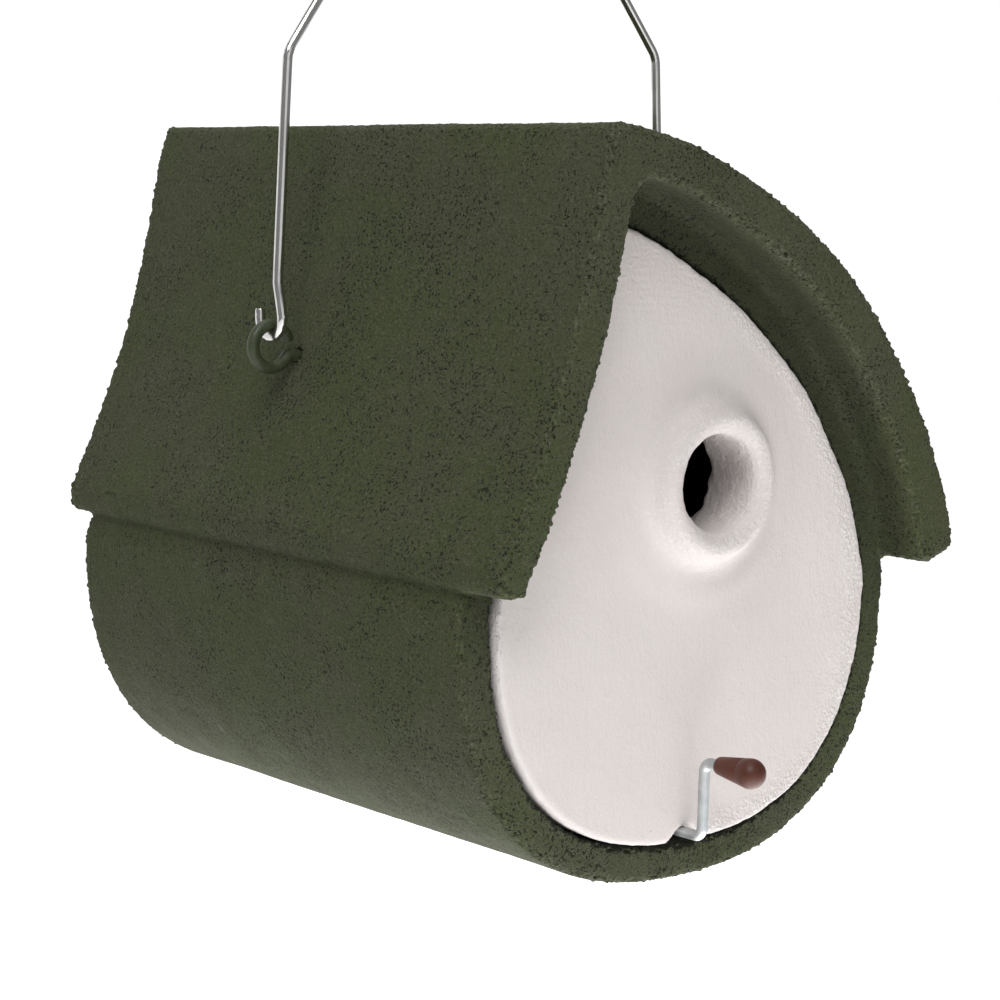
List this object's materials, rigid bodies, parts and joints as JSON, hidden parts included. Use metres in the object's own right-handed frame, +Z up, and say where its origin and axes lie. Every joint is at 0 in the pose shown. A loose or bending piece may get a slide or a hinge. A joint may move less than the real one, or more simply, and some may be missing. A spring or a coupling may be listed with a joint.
{
  "type": "nest box",
  "caption": "Hanging woodcrete nest box with an off-centre ridge, a pale lift-out front with a funnel entrance, a wire crank latch and a bent wire hanger.",
  "frame": {"origin": "underside of the hanger's round top, where it rests on a branch or hook", "axes": "+X to the right seen from the front, +Y to the back, +Z up; the entrance looks along -Y"},
  "size_m": [0.2027, 0.2701, 0.378],
  "materials": {
    "cast_green": "rough cast wood and cement, dark olive green, pitted and speckled",
    "panel_white": "rough cast wood and cement under stippled matt white paint",
    "eye_green": "dark green paint on steel wire",
    "bright_wire": "drawn bright steel wire",
    "grey_wire": "zinc coated steel wire",
    "knob_brown": "satin brown moulded plastic",
    "sleeve_grey": "matt grey moulded plastic"
  },
  "bodies": {
    "hanger": {"hanger_bail": "bright_wire"},
    "box": {"nest_box_body": "cast_green", "left_eye": "eye_green", "right_eye": "eye_green", "latch_sleeve": "sleeve_grey"},
    "front": {"front_panel": "panel_white"},
    "latch": {"latch_wire": "grey_wire", "latch_knob": "knob_brown"}
  },
  "joints": [
    {"name": "box_swing", "type": "hinge", "parent": "hanger", "child": "box", "pos_m": [0, 0, -0.19805], "axis": [1, 0, 0], "range_deg": [-50, 50]},
    {"name": "front_off", "type": "slide", "parent": "box", "child": "front", "axis": [0, -1, 0], "range_m": [0, 0.11]},
    {"name": "latch_turn", "type": "hinge", "parent": "front", "child": "latch", "pos_m": [0, -0.1298, -0.3595], "axis": [0, -1, 0], "continuous": true}
  ]
}
